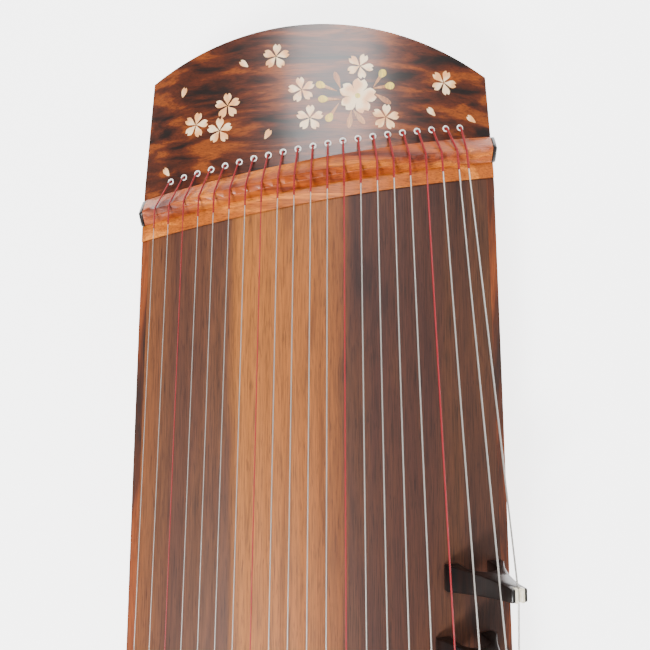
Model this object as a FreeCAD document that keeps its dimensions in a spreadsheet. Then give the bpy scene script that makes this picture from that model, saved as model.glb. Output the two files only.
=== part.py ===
"""Guzheng: a long arched zither with twenty-one strings on movable bridges.

Millimetres. +X points to the head (tuning) end, -X to the tail, -Y to the player,
+Z up. The origin is on the ground under the middle of the instrument.
"""
import FreeCAD, Part
import math
import os
import Sketcher

V = FreeCAD.Vector
os.makedirs("parts", exist_ok=True)
doc = FreeCAD.newDocument("guzheng")

# ---------------------------------------------------------------- driving sizes
SIZES = {
    # sound box
    "length": 1630.0,            # overall, tail tip to hinge knuckles
    "tail_width": 288.6,         # across the tail corners
    "waist_width": 298.8,        # across the box at the tail bridge
    "head_width": 354.0,         # across the head end
    "tail_arc_rise": 39.0,       # how far the tail end bows out past its corners
    "foot_height": 24.0,
    "box_depth": 112.0,          # underside of the back to the crown of the soundboard
    "camber_radius": 400.0,      # soundboard, across
    "arch_radius": 26000.0,      # soundboard, lengthways
    "board_thickness": 9.0,
    "cover_thickness": 5.0,      # tail board, head board and lid
    "tail_slope": 3.4,           # degrees the tail board falls away behind its bridge
    "panel_thickness": 7.0,
    "end_thickness": 10.0,
    "back_thickness": 8.0,
    "brace_thickness": 8.0,
    "brace_depth": 18.0,
    "brace_tunnel": 220.0,       # clear width under a brace
    "first_brace_x": -460.0,
    "brace_pitch": 290.0,
    "hatch_x": -716.0,           # opening in the back to reach the string ends
    "hatch_length": 110.0,
    "hatch_width": 50.0,
    "middle_hole_x": -120.0,
    "head_hole_x": 330.0,
    "sound_hole_length": 120.0,
    "sound_hole_width": 46.0,
    "seat_gap": 0.3,             # between curved faces of pieces that move apart
    # fixed bridges
    "tail_bridge_x": -682.5,     # ridge of the tail bridge on the centre line
    "tail_bridge_skew": 10.0,    # degrees, treble end nearer to the head
    "tail_bridge_height": 11.4,
    "tail_bridge_back": 13.0,    # ridge to rear edge
    "tail_bridge_front": 9.0,    # ridge to front edge
    "tail_bridge_overhang": 1.0, # past each side of the box
    "glue_line": 0.05,           # between the tail bridge and the boards under it
    "strip_width": 12.5,
    "strip_height": 1.2,
    "head_bridge_x": 640.0,
    "head_bridge_width": 16.0,
    "head_bridge_height": 13.0,
    "saddle_width": 4.0,
    # strings
    "string_count": 21,
    "tail_spacing": 12.7,
    "tail_offset": -3.2,         # middle string from the centre line, at the tail bridge
    "bridge_spacing": 13.6,
    "bridge_offset": -5.7,
    "head_spacing": 14.6,
    "eyelet_spacing": 12.2,
    "eyelet_offset": -2.4,
    "last_inset": 5.0,           # last string drawn in at the tail bridge
    "last_bridge_inset": 6.5,    # and at its movable bridge
    "eyelet_setback": 25.0,      # tail eyelets behind the ridge
    "head_eyelet_ahead": 26.0,   # head eyelets past the head bridge
    "thin_string": 0.7,          # diameter of the first string
    "thick_string": 1.6,         # diameter of the last string
    "wrap_wall": 0.45,
    "wrap_reach": 17.0,          # thread past the tail bridge's ridge
    "coil_height": 8.0,          # string on its pin, above the block
    # movable bridges
    "first_bridge_gap": 125.0,   # first movable bridge to the head bridge
    "last_bridge_gap": 1008.0,   # last movable bridge to the head bridge
    "first_bridge_height": 50.0,
    "last_bridge_height": 65.0,
    "bridge_row_bow": -0.25,     # bridges stand further apart towards the tail
    "bridge_span": 50.0,
    "bridge_foot_height": 5.0,
    "bridge_arch": 25.0,         # clear width between the feet
    "bridge_head": 13.0,
    "bridge_foot_front": 14.5,   # the feet reach further towards the head end
    "bridge_foot_back": 5.5,
    "bridge_head_thickness": 9.0,
    "notch_depth": 2.6,
    "notch_fall": 0.36,          # slope of the notch floor, down from its middle to each face
    "string_gap": 0.1,           # under the string in its notch
    "notch_clearance": 0.25,     # each side of the string
    # tuning box
    "lid_start": 700.0,
    "lid_gap": 2.8,              # the cambered edge swings out a little as it lifts
    "pin_radius": 3.0,
    "pin_length": 38.0,          # round part
    "pin_fit": 0.03,             # radial clearance in the block
    "pin_bore_depth": 24.0,
    "pin_head": 4.4,             # across the flats of the square
    "pin_head_length": 9.0,
    "pin_row_pitch": 24.0,
    "first_pin_row": 718.0,
    "block_thickness": 30.0,
    "block_margin": 14.0,        # block in front of the first row of pins
    "hinge_length": 60.0,
    "middle_knuckle": 24.0,
    "hinge_fit": 0.05,
    "hinge_end_play": 0.5,
    "leaf_drop": 0.3,            # hinge axis below the lid's crown
    "knuckle_radius": 2.4,
    "hinge_pin_radius": 1.0,
    "hinge_overhang": 6.0,       # box end to the outermost knuckle
    "leaf_thickness": 1.4,
    "leaf_width": 14.0,
    # eyelets and feet
    "eyelet_flange": 2.9,
    "eyelet_sleeve": 2.1,
    "eyelet_bore": 1.4,
    "flange_height": 0.8,
    "eyelet_rise": 1.0,          # where a string bends, above its eyelet's flange
    "foot_size": 42.0,
    "foot_inset": 60.0,
}
sizes = doc.addObject("Spreadsheet::Sheet", "sizes")
for row, (name, value) in enumerate(SIZES.items(), start=1):
    sizes.set("A%d" % row, name)
    sizes.set("B%d" % row, str(value))
    sizes.setAlias("B%d" % row, name)
doc.recompute()


def size(name):
    """A driving size, read back from the sheet."""
    return float(getattr(sizes, name))


# ------------------------------------------------------------ drawing helpers
def bind(item, **expressions):
    """Tie properties of an object to expressions over the sheet."""
    for prop, expression in expressions.items():
        item.setExpression(prop, expression)


def value_of(expression):
    """The number that an expression over the sheet gives now."""
    return float(sizes.evalExpression(expression))


def hold_point(sketch, edge, end, x, y):
    """Fix one end of a sketch edge at (x, y), both expressions over the sheet."""
    for direction, expression in (("DistanceX", x), ("DistanceY", y)):
        rule = Sketcher.Constraint(direction, -1, 1, edge, end, value_of(expression))
        number = sketch.addConstraint(rule)
        sketch.setExpression("Constraints[%d]" % number, expression)


def draw_outline(sketch, corners):
    """Draw a closed outline. A corner is (x, y), or (x, y, rise of the arc to the next one)."""
    count = len(corners)
    places = [V(value_of(corner[0]), value_of(corner[1]), 0) for corner in corners]
    for i, corner in enumerate(corners):
        start = places[i]
        end = places[(i + 1) % count]
        following = corners[(i + 1) % count]
        if len(corner) == 2:
            sketch.addGeometry(Part.LineSegment(start, end), False)
            ends = (1, 2)
        else:
            side = V(end.y - start.y, start.x - end.x, 0).normalize()
            middle = (start + end) * 0.5 + side * value_of(corner[2])
            turns_left = value_of(corner[2]) > 0
            arc = Part.Arc(start, middle, end) if turns_left else Part.Arc(end, middle, start)
            sketch.addGeometry(arc, False)
            ends = (1, 2) if turns_left else (2, 1)
        hold_point(sketch, i, ends[0], corner[0], corner[1])
        hold_point(sketch, i, ends[1], following[0], following[1])
        if len(corner) == 3:
            across = (following[0], corner[0], following[1], corner[1])
            chord = "(%s - (%s))^2 + (%s - (%s))^2" % across
            radius = "((%s) / 4 + (%s)^2) / (2 * abs(%s))" % (chord, corner[2], corner[2])
            number = sketch.addConstraint(Sketcher.Constraint("Radius", i, value_of(radius)))
            sketch.setExpression("Constraints[%d]" % number, radius)


def new_sketch(body, name, plane):
    """A sketch on one of the body's own origin planes."""
    sketch = body.newObject("Sketcher::SketchObject", name)
    origin_plane = [item for item in body.Origin.OriginFeatures if item.Role == plane][0]
    sketch.AttachmentSupport = [(origin_plane, "")]
    sketch.MapMode = "FlatFace"
    return sketch


def padded_outline(name, plane, corners, length, midplane=False):
    """A body: one outline padded to a length."""
    body = doc.addObject("PartDesign::Body", name)
    sketch = new_sketch(body, name + "_sketch", plane)
    draw_outline(sketch, corners)
    pad = body.newObject("PartDesign::Pad", name + "_pad")
    pad.Profile = sketch
    pad.Midplane = midplane
    pad.setExpression("Length", length)
    return body


def turned_profile(name, corners):
    """A body: a half profile in the XZ plane turned about Z."""
    body = doc.addObject("PartDesign::Body", name)
    sketch = new_sketch(body, name + "_sketch", "XZ_Plane")
    draw_outline(sketch, corners)
    turn = body.newObject("PartDesign::Revolution", name + "_turn")
    turn.Profile = sketch
    turn.ReferenceAxis = (sketch, ["V_Axis"])
    turn.Angle = 360
    return body


def block(name, low, high):
    """A box between two corners given as expressions."""
    item = doc.addObject("Part::Box", name)
    for side, near, far in zip(("Length", "Width", "Height"), low, high):
        item.setExpression(side, "(%s) - (%s)" % (far, near))
    for axis, near in zip("xyz", low):
        item.setExpression("Placement.Base." + axis, near)
    return item


def common(name, *items):
    """What all the items share."""
    item = doc.addObject("Part::MultiCommon", name)
    item.Shapes = list(items)
    return item


def joined(name, *items):
    """The items as one solid."""
    item = doc.addObject("Part::MultiFuse", name)
    item.Shapes = list(items)
    item.Refine = True
    return item


def cut(name, base, tool):
    """The base less the tool."""
    item = doc.addObject("Part::Cut", name)
    item.Base = base
    item.Tool = tool
    return item


subparts = []


def keep(item, label):
    """Name a finished sub-part and list it for writing."""
    item.Label = label
    subparts.append(item)
    return item


def keep_shapes(label, shapes):
    """A sub-part that is a group of like solids set out by a loop."""
    item = doc.addObject("Part::Feature", label + "_group")
    item.Shape = Part.makeCompound(shapes)
    item.Placement = FreeCAD.Placement()
    return keep(item, label)


# ------------------------------------------------------------ surfaces of the box
CROWN = "(sizes.foot_height + sizes.box_depth)"
HEAD_END = "(sizes.length / 2 - sizes.hinge_overhang)"
TAIL_TIP = "(-sizes.length / 2)"
TAIL_CORNER = "(-sizes.length / 2 + sizes.tail_arc_rise)"
FAR_OUT = 400.0
ARCH_SWEEP = 4.0        # degrees of the lengthways arch that are drawn


def crown_height(x):
    """Height of the soundboard on its centre line."""
    arch = size("arch_radius")
    return size("foot_height") + size("box_depth") - arch + math.sqrt(arch ** 2 - x ** 2)


def surface_height(x, y):
    """Height of the soundboard's surface, as if it ran the whole length."""
    arch = size("arch_radius")
    camber = size("camber_radius")
    ring = arch - camber + math.sqrt(camber ** 2 - y ** 2)
    return size("foot_height") + size("box_depth") - arch + math.sqrt(ring ** 2 - x ** 2)


def arched_block(name, offset):
    """A long block whose top is the soundboard's double-curved surface, moved off by an offset."""
    item = doc.addObject("Part::Torus", name)
    item.Angle1 = -40
    item.Angle2 = 40
    item.Angle3 = ARCH_SWEEP
    bind(item, Radius1="sizes.arch_radius - sizes.camber_radius",
         Radius2="sizes.camber_radius + (%s)" % offset)
    half = math.radians(ARCH_SWEEP / 2)
    start = V(-math.sin(half), 0, math.cos(half))
    onward = V(math.cos(half), 0, math.sin(half))
    item.Placement = FreeCAD.Placement(V(0, 0, 0), FreeCAD.Rotation(start, onward, V(0, 1, 0), "ZXY"))
    item.setExpression("Placement.Base.z", CROWN + " - sizes.arch_radius")
    return item


def ridge_x(y):
    """Where the tail bridge's ridge crosses a line parallel to the long axis."""
    return size("tail_bridge_x") - y * math.tan(math.radians(size("tail_bridge_skew")))


SKEW = FreeCAD.Rotation(V(0, 0, 1), size("tail_bridge_skew"))
RIDGE_CENTRE = V(size("tail_bridge_x"), 0, crown_height(size("tail_bridge_x")))
TAIL_DIP = FreeCAD.Rotation(SKEW.multVec(V(0, 1, 0)), -size("tail_slope"))
TAIL_TILT = FreeCAD.Placement(V(0, 0, 0), TAIL_DIP, RIDGE_CENTRE)


def sloped_block(name, offset):
    """The tail board's surface: the soundboard's own, tipped down about the tail bridge's ridge."""
    item = arched_block(name, offset)
    item.setExpression("Placement.Base.z", None)
    doc.recompute()
    level = FreeCAD.Placement(V(0, 0, value_of(CROWN + " - sizes.arch_radius")), item.Placement.Rotation)
    item.Placement = TAIL_TILT.multiply(level)
    return item


def tail_zone(name):
    """All space behind the ridge of the tail bridge."""
    item = doc.addObject("Part::Box", name)
    item.Length = FAR_OUT
    item.Width = 2 * FAR_OUT
    item.Height = FAR_OUT
    corner = V(size("tail_bridge_x"), 0, 0) + SKEW.multVec(V(-FAR_OUT, -FAR_OUT, 0))
    item.Placement = FreeCAD.Placement(corner, SKEW)
    return item


def head_zone(name):
    """All space past the middle of the head bridge."""
    return block(name, ("sizes.head_bridge_x", "-%g" % FAR_OUT, "0"),
                 ("sizes.head_bridge_x + %g" % FAR_OUT, "%g" % FAR_OUT, "%g" % FAR_OUT))


def plan(name, inset_side, inset_tail, inset_head, low, high):
    """The box's outline seen from above, drawn in by the given amounts, from one height to another."""
    corners = [
        (TAIL_CORNER + " + " + inset_tail, "-(sizes.tail_width / 2 - %s)" % inset_side),
        ("sizes.tail_bridge_x", "-(sizes.waist_width / 2 - %s)" % inset_side),
        (HEAD_END + " - " + inset_head, "-(sizes.head_width / 2 - %s)" % inset_side),
        (HEAD_END + " - " + inset_head, "sizes.head_width / 2 - %s" % inset_side),
        ("sizes.tail_bridge_x", "sizes.waist_width / 2 - %s" % inset_side),
        (TAIL_CORNER + " + " + inset_tail, "sizes.tail_width / 2 - %s" % inset_side, "sizes.tail_arc_rise"),
    ]
    body = padded_outline(name, "XY_Plane", corners, "(%s) - (%s)" % (high, low))
    body.setExpression("Placement.Base.z", low)
    return body


ABOVE_ALL = CROWN + " + 60"
whole_plan = plan("whole_plan", "0", "0", "0", "sizes.foot_height", ABOVE_ALL)
inner_plan = plan("inner_plan", "sizes.panel_thickness", "sizes.end_thickness", "sizes.end_thickness",
                  "sizes.foot_height - 1", ABOVE_ALL + " + 1")
chamber_plan = plan("chamber_plan", "sizes.panel_thickness", "sizes.end_thickness", "sizes.end_thickness",
                    "sizes.foot_height + sizes.back_thickness", ABOVE_ALL)

top_surface = arched_block("top_surface", "0")
top_underside = arched_block("top_underside", "-sizes.board_thickness")
cover_underside = arched_block("cover_underside", "-sizes.cover_thickness")
tail_surface = sloped_block("tail_surface", "0")
tail_underside = sloped_block("tail_underside", "-sizes.cover_thickness")

top_ahead = cut("top_ahead", top_surface, tail_zone("tail_zone_a"))
top_middle = cut("top_middle", top_ahead, head_zone("head_zone_a"))
head_under = common("head_under", cover_underside, head_zone("head_zone_b"))
tail_under = common("tail_under", tail_underside, tail_zone("tail_zone_b"))
panel_tops = joined("panel_tops", top_middle, head_under, tail_under)

# ------------------------------------------------------------ side and end panels
rim = common("rim", cut("rim_ring", whole_plan, inner_plan), panel_tops)
side_stretch = block("side_stretch", (TAIL_CORNER + " + sizes.end_thickness", "-%g" % FAR_OUT, "0"),
                     (HEAD_END + " - sizes.end_thickness", "%g" % FAR_OUT, "%g" % FAR_OUT))
keep(common("side_walls", rim, side_stretch), "side_panels")
keep(cut("end_walls", rim, side_stretch), "end_panels")

# ------------------------------------------------------------ soundboard
inside_top = cut("inside_top", common("top_block", top_middle, chamber_plan), top_underside)
keep(inside_top, "soundboard")

# ------------------------------------------------------------ where the strings run
COUNT = int(size("string_count"))
NUMBERS = range(1, COUNT + 1)


def share(i):
    """0 at the first string, 1 at the last."""
    return (i - 1) / (COUNT - 1)


def from_middle(i):
    """Strings counted from the middle one, negative on the player's side."""
    return i - (COUNT + 1) / 2


def inset(i, name):
    """The last string is set in so that its bridge stays on the board."""
    return size(name) if i == COUNT else 0.0


def normal(x, y):
    """The direction straight out of the soundboard."""
    across = y / size("camber_radius")
    return V(x / size("arch_radius"), across, math.sqrt(1 - across ** 2)).normalize()


def string_radius(i):
    """Radius of a string."""
    thin = size("thin_string")
    return (thin + (size("thick_string") - thin) * share(i)) / 2


def above_board(x, y, height):
    """A point a given height off the soundboard, measured straight out of it."""
    return V(x, y, surface_height(x, y)) + normal(x, y) * height


def tail_crossing(i):
    """Where a string's centre crosses the ridge of the tail bridge."""
    y = size("tail_offset") + from_middle(i) * size("tail_spacing") - inset(i, "last_inset")
    lift = size("tail_bridge_height") + string_radius(i) + size("wrap_wall") + size("string_gap")
    crossing = above_board(ridge_x(y), y, lift)
    crossing.x = ridge_x(crossing.y)
    return crossing


def bridge_seat(i):
    """The point of the soundboard under the middle of a movable bridge."""
    first = size("head_bridge_x") - size("first_bridge_gap")
    last = size("head_bridge_x") - size("last_bridge_gap")
    bow = size("bridge_row_bow") * share(i) * (1 - share(i))
    x = first + (last - first) * (share(i) + bow)
    even = size("bridge_offset") + from_middle(i) * size("bridge_spacing")
    y = even - inset(i, "last_bridge_inset")
    return V(x, y, surface_height(x, y))


def bridge_height(i):
    """Height of a movable bridge, board to string centre."""
    first = size("first_bridge_height")
    return first + (size("last_bridge_height") - first) * share(i)


def bridge_crossing(i):
    """Where a string's centre crosses its movable bridge."""
    seat = bridge_seat(i)
    return seat + normal(seat.x, seat.y) * bridge_height(i)


def head_y(i):
    """Side-to-side place of a string from the head bridge on."""
    return from_middle(i) * size("head_spacing")


def head_crossing(i):
    """Where a string's centre crosses the ridge of the head bridge."""
    arch = size("arch_radius")
    camber = size("camber_radius")
    lift = size("head_bridge_height") + string_radius(i) + size("string_gap")
    ring = arch - camber + math.sqrt((camber + lift) ** 2 - head_y(i) ** 2)
    lean = math.asin(size("head_bridge_x") / arch)
    base = size("foot_height") + size("box_depth") - arch
    return V(ring * math.sin(lean), head_y(i), base + ring * math.cos(lean))


def tail_eyelet(i):
    """Place and outward direction of a string hole in the tail board."""
    y = size("eyelet_offset") + from_middle(i) * size("eyelet_spacing")
    x = ridge_x(y) - size("eyelet_setback")
    place = TAIL_TILT.multVec(V(x, y, surface_height(x, y)))
    return place, TAIL_TILT.Rotation.multVec(normal(x, y))


def head_eyelet(i):
    """Place and outward direction of a string hole in the head board."""
    x = size("head_bridge_x") + size("head_eyelet_ahead")
    return V(x, head_y(i), surface_height(x, head_y(i))), normal(x, head_y(i))


def upright(place, direction):
    """A placement that stands Z along a direction."""
    return FreeCAD.Placement(place, FreeCAD.Rotation(V(0, 0, 1), direction))


def eyelet_places():
    """Every string hole, tail row then head row."""
    return [tail_eyelet(i) for i in NUMBERS] + [head_eyelet(i) for i in NUMBERS]


def bent_rod(points, radius):
    """A round rod through points, mitred at each bend."""
    wire = Part.makePolygon(points)
    start = points[0]
    circle = Part.Circle(start, points[1] - start, radius)
    ring = Part.Wire([circle.toShape()])
    return wire.makePipeShell([ring], True, False, 1)


def drilled(plate, spots):
    """A cambered plate with a row of string holes; the holes follow its own slope."""
    length = 4 * size("cover_thickness")
    drill = Part.makeCylinder(size("eyelet_sleeve"), length, V(0, 0, -length / 2))
    holes = [drill.transformed(upright(*spot).toMatrix()).toNurbs() for spot in spots]
    doc.recompute()
    return plate.Shape.toNurbs().cut(Part.makeCompound(holes)).Solids


# ------------------------------------------------------------ tail board and head board
tail_skin = cut("tail_skin", tail_surface, tail_underside)
tail_plate = common("tail_plate", tail_skin, tail_zone("tail_zone_c"), whole_plan)
keep_shapes("tail_board", drilled(tail_plate, [tail_eyelet(i) for i in NUMBERS]))

top_cover = cut("top_cover", top_surface, cover_underside)
head_stretch = block("head_stretch", ("sizes.head_bridge_x", "-%g" % FAR_OUT, "0"),
                     ("sizes.lid_start", "%g" % FAR_OUT, "%g" % FAR_OUT))
head_plate = common("head_plate", top_cover, whole_plan, head_stretch)
keep_shapes("head_board", drilled(head_plate, [head_eyelet(i) for i in NUMBERS]))

# ------------------------------------------------------------ back board with its openings
back_plan = plan("back_plan", "sizes.panel_thickness", "sizes.end_thickness", "sizes.end_thickness",
                 "sizes.foot_height", "sizes.foot_height + sizes.back_thickness")


def back_opening(name, x, length, width):
    """A slot with round ends through the back board."""
    half = "(%s) / 2 - (%s) / 2" % (length, width)
    side = "(%s) / 2" % width
    corners = [
        ("-(%s)" % half, "-" + side),
        (half, "-" + side, side + " - 0.001"),
        (half, side),
        ("-(%s)" % half, side, side + " - 0.001"),
    ]
    body = padded_outline(name, "XY_Plane", corners, "4 * sizes.back_thickness")
    body.setExpression("Placement.Base.x", x)
    body.setExpression("Placement.Base.z", "sizes.foot_height - sizes.back_thickness")
    return body


hole_sizes = ("sizes.sound_hole_length", "sizes.sound_hole_width")
back_openings = [
    back_opening("tail_string_hatch", "sizes.hatch_x", "sizes.hatch_length", "sizes.hatch_width"),
    back_opening("middle_sound_hole", "sizes.middle_hole_x", *hole_sizes),
    back_opening("head_sound_hole", "sizes.head_hole_x", *hole_sizes),
]
keep(cut("back_open", back_plan, joined("back_opening_tools", *back_openings)), "back_board")

# ------------------------------------------------------------ braces and the tuning box wall
ribs = []
under_rib = arched_block("under_rib", "-sizes.board_thickness - sizes.brace_depth")
tunnel_width = block("tunnel_width", ("-sizes.length", "-sizes.brace_tunnel / 2", "0"),
                     ("sizes.length", "sizes.brace_tunnel / 2", "%g" % FAR_OUT))
tunnel = common("tunnel", under_rib, tunnel_width)
BRACE_COUNT = 4
for number in range(BRACE_COUNT):
    middle = "sizes.first_brace_x + %d * sizes.brace_pitch" % number
    slab = block("brace_slab_%d" % number, (middle + " - sizes.brace_thickness / 2", "-%g" % FAR_OUT, "0"),
                 (middle + " + sizes.brace_thickness / 2", "%g" % FAR_OUT, "%g" % FAR_OUT))
    blank = common("brace_blank_%d" % number, slab, chamber_plan, top_underside)
    ribs.append(cut("brace_%d" % number, blank, tunnel))
wall_start = "sizes.head_bridge_x + sizes.head_bridge_width / 2"
wall_slab = block("box_wall_slab", (wall_start, "-%g" % FAR_OUT, "0"),
                  (wall_start + " + sizes.brace_thickness", "%g" % FAR_OUT, "%g" % FAR_OUT))
ribs.append(common("box_wall", wall_slab, chamber_plan, cover_underside))
doc.recompute()
keep_shapes("braces", [rib.Shape for rib in ribs])


# ------------------------------------------------------------ fixed bridges
def board_under(x, y):
    """Height of the soundboard, or of the sloping tail board behind the ridge."""
    if x >= ridge_x(y):
        return surface_height(x, y)
    level_x, level_y = x, y
    for _ in range(4):
        landed = TAIL_TILT.multVec(V(level_x, level_y, surface_height(level_x, level_y)))
        level_x += x - landed.x
        level_y += y - landed.y
    return landed.z


SECTIONS = 15
TAIL_PROFILE = [          # share of the back or front reach, share of the height
    (-1.0, 0.0), (0.0, 0.0), (1.0, 0.0), (1.0, 0.55), (0.5, 0.95),
    (0.0, 1.0), (-0.35, 0.77), (-0.7, 0.47), (-1.0, 0.22),
]


def tail_bar_section(y):
    """The outline of the tail bridge where it crosses one line parallel to the long axis."""
    slant = math.cos(math.radians(size("tail_bridge_skew")))
    points = []
    for along, up in TAIL_PROFILE:
        reach = size("tail_bridge_front") if along > 0 else size("tail_bridge_back")
        x = ridge_x(y) + along * reach / slant
        lift = size("glue_line") + up * (size("tail_bridge_height") - size("glue_line"))
        points.append(V(x, y, board_under(x, y) + lift / normal(x, y).z))
    return Part.makePolygon(points + points[:1])


bar_end = size("waist_width") / 2 + size("tail_bridge_overhang")
bar_sections = [tail_bar_section(bar_end * (2 * k / (SECTIONS - 1) - 1)) for k in range(SECTIONS)]
keep_shapes("tail_bridge", [Part.makeLoft(bar_sections, True)])

strip_top = arched_block("strip_top", "sizes.strip_height")
strip_zone = block("strip_zone", ("0", "-%g" % FAR_OUT, "0"),
                   ("sizes.strip_width", "%g" % FAR_OUT, "%g" % FAR_OUT))
for axis in "xyz":
    strip_zone.setExpression("Placement.Base." + axis, None)
strip_corner = V(size("tail_bridge_x"), 0, 0) + SKEW.multVec(V(size("tail_bridge_front"), -FAR_OUT, 0))
strip_zone.Placement = FreeCAD.Placement(strip_corner, SKEW)
strip_skin = cut("strip_skin", strip_top, top_surface)
keep(common("strip_trimmed", strip_skin, strip_zone, whole_plan), "tail_bridge_strip")


def curved_bar(name, corners, x, reach):
    """A bar that follows the camber: a profile turned about the camber's centre line."""
    body = doc.addObject("PartDesign::Body", name)
    sketch = new_sketch(body, name + "_sketch", "XZ_Plane")
    radius = "sizes.camber_radius"
    draw_outline(sketch, [(corner[0], "%s + (%s)" % (radius, corner[1])) + corner[2:] for corner in corners])
    turn = body.newObject("PartDesign::Revolution", name + "_turn")
    turn.Profile = sketch
    turn.ReferenceAxis = (sketch, ["H_Axis"])
    turn.Midplane = True
    turn.setExpression("Angle", "2 * asin((%s) / %s)" % (reach, radius))
    tilt = FreeCAD.Rotation(V(0, 1, 0), math.degrees(math.asin(x / size("arch_radius"))))
    crown = V(x, 0, crown_height(x))
    body.Placement = FreeCAD.Placement(crown - tilt.multVec(V(0, 0, size("camber_radius"))), tilt)
    return body


head_profile = [
    ("-sizes.head_bridge_width / 2", "0"),
    ("sizes.head_bridge_width / 2", "0"),
    ("sizes.head_bridge_width / 2", "sizes.head_bridge_height * 0.25", "-0.6"),
    ("sizes.saddle_width / 2", "sizes.head_bridge_height - sizes.saddle_width * 0.5"),
    ("0", "sizes.head_bridge_height"),
    ("-sizes.saddle_width / 2", "sizes.head_bridge_height"),
    ("-sizes.saddle_width / 2", "sizes.head_bridge_height * 0.8", "-1"),
    ("-sizes.head_bridge_width / 2", "sizes.head_bridge_height * 0.35"),
]
head_bar = curved_bar("head_bar", head_profile, size("head_bridge_x"), "sizes.head_width / 2")
keep(common("head_bar_trimmed", head_bar, whole_plan), "head_bridge")

# ------------------------------------------------------------ string eyelets
eyelet = turned_profile("eyelet", [
    ("sizes.eyelet_bore", "-sizes.cover_thickness"),
    ("sizes.eyelet_sleeve", "-sizes.cover_thickness"),
    ("sizes.eyelet_sleeve", "0"),
    ("sizes.eyelet_flange", "0"),
    ("sizes.eyelet_flange", "sizes.flange_height"),
    ("sizes.eyelet_bore", "sizes.flange_height"),
])
doc.recompute()
eyelet_rings = [eyelet.Shape.transformed(upright(*spot).toMatrix()) for spot in eyelet_places()]
keep_shapes("string_eyelets", eyelet_rings)

# ------------------------------------------------------------ strings and the thread round their tails
def wrap_end(i):
    """Where the thread round a string stops, on the way to the movable bridge."""
    start = tail_crossing(i)
    onward = (bridge_crossing(i) - start).normalize()
    return start + onward * size("wrap_reach")


def through_eyelet(spot):
    """A string's two points at an eyelet: just over its flange and just under its sleeve."""
    place, direction = spot
    above = size("flange_height") + size("eyelet_rise")
    return place + direction * above, place - direction * (size("cover_thickness") + 2)


def pin_place(i):
    """The foot of a tuning pin, at the bottom of its bore."""
    x = size("first_pin_row") + ((i - 1) % 3) * size("pin_row_pitch")
    top = size("foot_height") + size("back_thickness") + size("block_thickness")
    return V(x, head_y(i), top - size("pin_bore_depth"))


def string_solid(i):
    """A string from the end of its thread to its tuning pin."""
    into, out = through_eyelet(head_eyelet(i))
    coil_height = size("pin_bore_depth") + size("coil_height")
    end = pin_place(i) + V(-size("pin_radius") - 2 * string_radius(i), 0, coil_height)
    return bent_rod([wrap_end(i), bridge_crossing(i), head_crossing(i), into, out, end], string_radius(i))


def wrap_solid(i):
    """The thread-covered tail of a string, from under the tail board to just past the tail bridge."""
    into, under = through_eyelet(tail_eyelet(i))
    return bent_rod([under, into, tail_crossing(i), wrap_end(i)], string_radius(i) + size("wrap_wall"))


keep_shapes("strings", [string_solid(i) for i in NUMBERS])
keep_shapes("string_wraps", [wrap_solid(i) for i in NUMBERS])

# ------------------------------------------------------------ movable bridges
SEAT_DEPTH = "-4"
seat_surface = arched_block("seat_surface", "sizes.seat_gap")


def movable_bridge(i):
    """One movable bridge: a two-footed arch with a notched head, thinner at the top."""
    name = "movable_bridge_%02d" % i
    rise = "(sizes.last_bridge_height - sizes.first_bridge_height)"
    height = "(sizes.first_bridge_height + %s * %s)" % (rise, share(i))
    growth = "(sizes.thick_string - sizes.thin_string)"
    radius = "((sizes.thin_string + %s * %s) / 2)" % (growth, share(i))
    slot_width = "2 * (%s + sizes.notch_clearance)" % radius
    slot_floor = "(%s - %s - sizes.string_gap)" % (height, radius)
    shoulder = "(%s - sizes.bridge_head * 0.6)" % height
    crown = "(%s + sizes.notch_depth)" % slot_floor
    arch_spring = "(%s * 0.2)" % height
    right = [
        ("sizes.bridge_arch / 2", SEAT_DEPTH),
        ("sizes.bridge_span / 2", SEAT_DEPTH),
        ("sizes.bridge_span / 2", "sizes.bridge_foot_height", "-3"),
        ("sizes.bridge_head / 2", shoulder),
        ("sizes.bridge_head / 2", crown + " - 2", "0.8"),
        ("sizes.bridge_head / 2 - 2", crown),
    ]
    left = [
        ("-(sizes.bridge_head / 2 - 2)", crown, "0.8"),
        ("-sizes.bridge_head / 2", crown + " - 2"),
        ("-sizes.bridge_head / 2", shoulder, "-3"),
        ("-sizes.bridge_span / 2", "sizes.bridge_foot_height"),
        ("-sizes.bridge_span / 2", SEAT_DEPTH),
        ("-sizes.bridge_arch / 2", SEAT_DEPTH),
        ("-sizes.bridge_arch / 2", arch_spring, "-(sizes.bridge_arch / 2 - 0.1)"),
        ("sizes.bridge_arch / 2", arch_spring),
    ]
    front = padded_outline(name + "_front", "YZ_Plane", right + left, "4 * sizes.bridge_foot_front", True)
    side = padded_outline(name + "_side", "XZ_Plane", [
        ("-sizes.bridge_foot_back", SEAT_DEPTH + " - 1"),
        ("sizes.bridge_foot_front", SEAT_DEPTH + " - 1"),
        ("sizes.bridge_foot_front", "sizes.bridge_foot_height"),
        ("sizes.bridge_head_thickness / 2", crown + " + 1"),
        ("-sizes.bridge_head_thickness / 2", crown + " + 1"),
        ("-sizes.bridge_foot_back", "sizes.bridge_foot_height"),
    ], "2 * sizes.bridge_span", True)
    slot_end = "%s - sizes.bridge_head_thickness * sizes.notch_fall" % slot_floor
    notch = padded_outline(name + "_notch", "XZ_Plane", [
        ("-sizes.bridge_head_thickness", slot_end),
        ("0", slot_floor),
        ("sizes.bridge_head_thickness", slot_end),
        ("sizes.bridge_head_thickness", crown + " + 1"),
        ("-sizes.bridge_head_thickness", crown + " + 1"),
    ], slot_width, True)
    seat = bridge_seat(i)
    standing = upright(seat, normal(seat.x, seat.y))
    for drawn in (front, side, notch):
        drawn.Placement = standing
    notched = cut(name + "_notched", common(name + "_blank", front, side), notch)
    return cut(name + "_seated", notched, seat_surface)


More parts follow.
